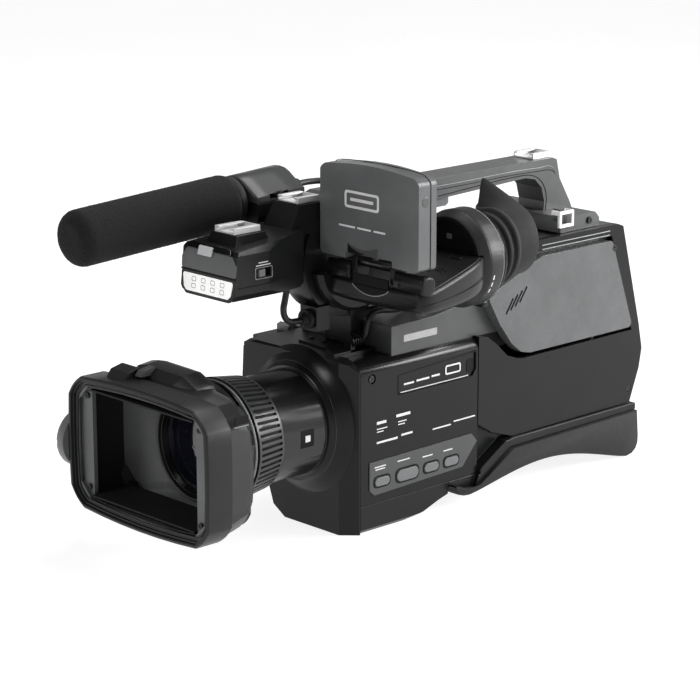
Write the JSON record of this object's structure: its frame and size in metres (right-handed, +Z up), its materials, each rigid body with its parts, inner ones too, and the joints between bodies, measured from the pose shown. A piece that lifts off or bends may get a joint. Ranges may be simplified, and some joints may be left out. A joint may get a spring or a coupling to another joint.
{
  "type": "camcorder",
  "caption": "Shoulder-mount camcorder with ribbed lens ring, shuttered rectangular hood, top handle with lamp, shotgun microphone, flip-up screen, eyecup and shoulder pad.",
  "frame": {"origin": "mouth of the 1/4-inch tripod socket, in the plane of the flat base under the lens axis", "axes": "+Z up, the lens looks along -Y, +X is the operator's left, the side that carries the viewfinder"},
  "size_m": [0.2266, 0.511, 0.2864],
  "materials": {
    "body_dark": "fine textured charcoal moulding, semi-matt",
    "body_gloss": "smooth charcoal moulding, satin to semi-gloss",
    "cover_grey": "smooth dark grey satin moulding",
    "bezel_grey": "dark grey satin panel",
    "button_grey": "mid grey satin buttons",
    "record_red": "red satin button",
    "lens_black": "black satin lens barrel",
    "rubber_black": "black matt rubber",
    "cable_black": "black satin cable jacket",
    "hood_black": "charcoal matt textured moulding",
    "lever_grey": "mid grey satin knob",
    "glass": "coated clear optical glass",
    "screen": "glossy black screen",
    "shoe_silver": "satin silver steel",
    "screw_black": "black oxide steel",
    "led_white": "white diffuser with clear domes",
    "foam_black": "open-cell black foam",
    "mic_black": "black painted tube",
    "strap_black": "black padded woven strap",
    "frame_metal": "cast and folded light alloy",
    "board_green": "printed circuit board",
    "battery_black": "black textured case"
  },
  "bodies": {
    "camera_body": {"front_casing": "body_dark", "left_cover": "body_gloss", "button_bezel": "bezel_grey", "left_rear_cover": "body_gloss", "upper_cover": "cover_grey", "right_shell": "body_dark", "top_housing": "cover_grey", "base_block": "body_dark", "tripod_plate": "shoe_silver", "pad_frame": "body_dark", "shoulder_pad": "rubber_black", "rear_panel": "body_dark", "chassis": "frame_metal", "main_board": "board_green", "screws": "screw_black", "lens_barrel": "lens_black", "lens_nose": "lens_black", "lens_elements": "glass", "image_sensor": "board_green", "lens_hood": "hood_black", "hood_frame": "hood_black", "handle": "cover_grey", "cold_shoes": "shoe_silver", "light_head": "body_dark", "led_module": "led_white", "light_lead": "cable_black", "light_plug": "rubber_black", "mic_holder": "body_dark", "mic_tube": "mic_black", "mic_windscreen": "foam_black", "mic_lead": "cable_black", "finder_hub": "body_dark", "finder_lead": "cable_black", "hand_grip": "body_dark", "hand_strap": "strap_black"},
    "focus": {"focus_ring": "rubber_black"},
    "hood_lock": {"hood_lock_screw": "rubber_black"},
    "shutter_lever": {"shutter_lever": "lever_grey"},
    "shutter_upper": {"shutter_upper": "hood_black"},
    "shutter_lower": {"shutter_lower": "hood_black"},
    "assign_key": {"assign_button": "button_grey"},
    "manual_key": {"manual_button": "button_grey"},
    "balance_key": {"balance_button": "button_grey"},
    "set_key": {"set_button": "button_grey"},
    "battery_pack": {"battery": "battery_black"},
    "battery_catch": {"battery_latch": "button_grey"},
    "handle_zoom": {"handle_zoom_lever": "button_grey"},
    "light_slider": {"light_switch": "button_grey"},
    "mic_cap": {"mic_lid": "cover_grey"},
    "mic_screw": {"mic_clamp_screw": "button_grey"},
    "viewfinder": {"finder_body": "body_gloss", "eyepiece": "lens_black", "eyecup": "rubber_black"},
    "screen_yoke": {"lcd_yoke": "lens_black"},
    "screen": {"lcd_panel": "cover_grey", "lcd_screen": "screen"},
    "dioptre": {"dioptre_ring": "lens_black"},
    "strap_loop": {"strap_ring": "shoe_silver"},
    "grip_zoom": {"zoom_rocker": "button_grey"},
    "record_key": {"record_button": "record_red"}
  },
  "joints": [
    {"name": "focus_turn", "type": "hinge", "parent": "camera_body", "child": "focus", "pos_m": [0, -0.1065, 0.0835], "axis": [0, 1, 0], "continuous": true},
    {"name": "hood_lock_turn", "type": "hinge", "parent": "camera_body", "child": "hood_lock", "pos_m": [-0.086, -0.173, 0.039], "axis": [1, 0, 0], "continuous": true},
    {"name": "shutter_lever_turn", "type": "hinge", "parent": "camera_body", "child": "shutter_lever", "pos_m": [-0.084, -0.179, 0.08], "axis": [1, 0, 0], "range_deg": [0, 90]},
    {"name": "shutter_upper_turn", "type": "hinge", "parent": "camera_body", "child": "shutter_upper", "pos_m": [0, -0.152, 0.124], "axis": [1, 0, 0], "range_deg": [0, 90]},
    {"name": "shutter_lower_turn", "type": "hinge", "parent": "camera_body", "child": "shutter_lower", "pos_m": [0, -0.152, 0.043], "axis": [1, 0, 0], "range_deg": [-90, 0]},
    {"name": "assign_press", "type": "slide", "parent": "camera_body", "child": "assign_key", "axis": [-1, 0, 0], "range_m": [0, 0.001], "stiffness_N_per_m": 400},
    {"name": "manual_press", "type": "slide", "parent": "camera_body", "child": "manual_key", "axis": [-1, 0, 0], "range_m": [0, 0.001], "stiffness_N_per_m": 400},
    {"name": "balance_press", "type": "slide", "parent": "camera_body", "child": "balance_key", "axis": [-1, 0, 0], "range_m": [0, 0.001], "stiffness_N_per_m": 400},
    {"name": "set_press", "type": "slide", "parent": "camera_body", "child": "set_key", "axis": [-1, 0, 0], "range_m": [0, 0.001], "stiffness_N_per_m": 400},
    {"name": "battery_slide", "type": "slide", "parent": "camera_body", "child": "battery_pack", "axis": [0, 1, 0], "range_m": [0, 0.05]},
    {"name": "battery_catch_slide", "type": "slide", "parent": "camera_body", "child": "battery_catch", "axis": [1, 0, 0], "range_m": [0, 0.0022], "stiffness_N_per_m": 300},
    {"name": "handle_zoom_tilt", "type": "hinge", "parent": "camera_body", "child": "handle_zoom", "pos_m": [0, 0.105, 0.239], "axis": [1, 0, 0], "range_deg": [-7, 7], "stiffness_Nm_per_rad": 0.2},
    {"name": "light_switch_slide", "type": "slide", "parent": "camera_body", "child": "light_slider", "axis": [0, 1, 0], "range_m": [0, 0.005]},
    {"name": "mic_cap_open", "type": "hinge", "parent": "camera_body", "child": "mic_cap", "pos_m": [-0.0805, -0.032, 0.248], "axis": [0, -0.9983, -0.0576], "range_deg": [0, 110]},
    {"name": "mic_screw_turn", "type": "hinge", "parent": "mic_cap", "child": "mic_screw", "pos_m": [-0.035, -0.02829, 0.25322], "axis": [0, -0.0576, 0.9983], "continuous": true},
    {"name": "viewfinder_tilt", "type": "hinge", "parent": "camera_body", "child": "viewfinder", "pos_m": [0.02, 0.001, 0.207], "axis": [1, 0, 0], "range_deg": [0, 28]},
    {"name": "screen_tilt", "type": "hinge", "parent": "viewfinder", "child": "screen_yoke", "pos_m": [0.0685, -0.02, 0.2135], "axis": [1, 0, 0], "range_deg": [-60, 0]},
    {"name": "screen_swivel", "type": "hinge", "parent": "screen_yoke", "child": "screen", "pos_m": [0.0685, -0.023, 0.222], "axis": [0, 0, 1], "range_deg": [0, 180]},
    {"name": "dioptre_turn", "type": "hinge", "parent": "viewfinder", "child": "dioptre", "pos_m": [0.07, 0.076, 0.205], "axis": [0, 1, 0], "range_deg": [-25, 25]},
    {"name": "strap_loop_swing", "type": "hinge", "parent": "camera_body", "child": "strap_loop", "pos_m": [0.0424, 0.206, 0.2165], "axis": [0, 1, 0], "range_deg": [-100, 0]},
    {"name": "grip_zoom_tilt", "type": "hinge", "parent": "camera_body", "child": "grip_zoom", "pos_m": [-0.067, 0.022, 0.13], "axis": [1, 0, 0], "range_deg": [-7, 7], "stiffness_Nm_per_rad": 0.3},
    {"name": "record_press", "type": "slide", "parent": "camera_body", "child": "record_key", "axis": [0, -1, 0], "range_m": [0, 0.001], "stiffness_N_per_m": 400}
  ],
  "couplings": [
    {"joint": "shutter_upper_turn", "follows": "shutter_lever_turn", "ratio": 1},
    {"joint": "shutter_lower_turn", "follows": "shutter_lever_turn", "ratio": -1}
  ]
}
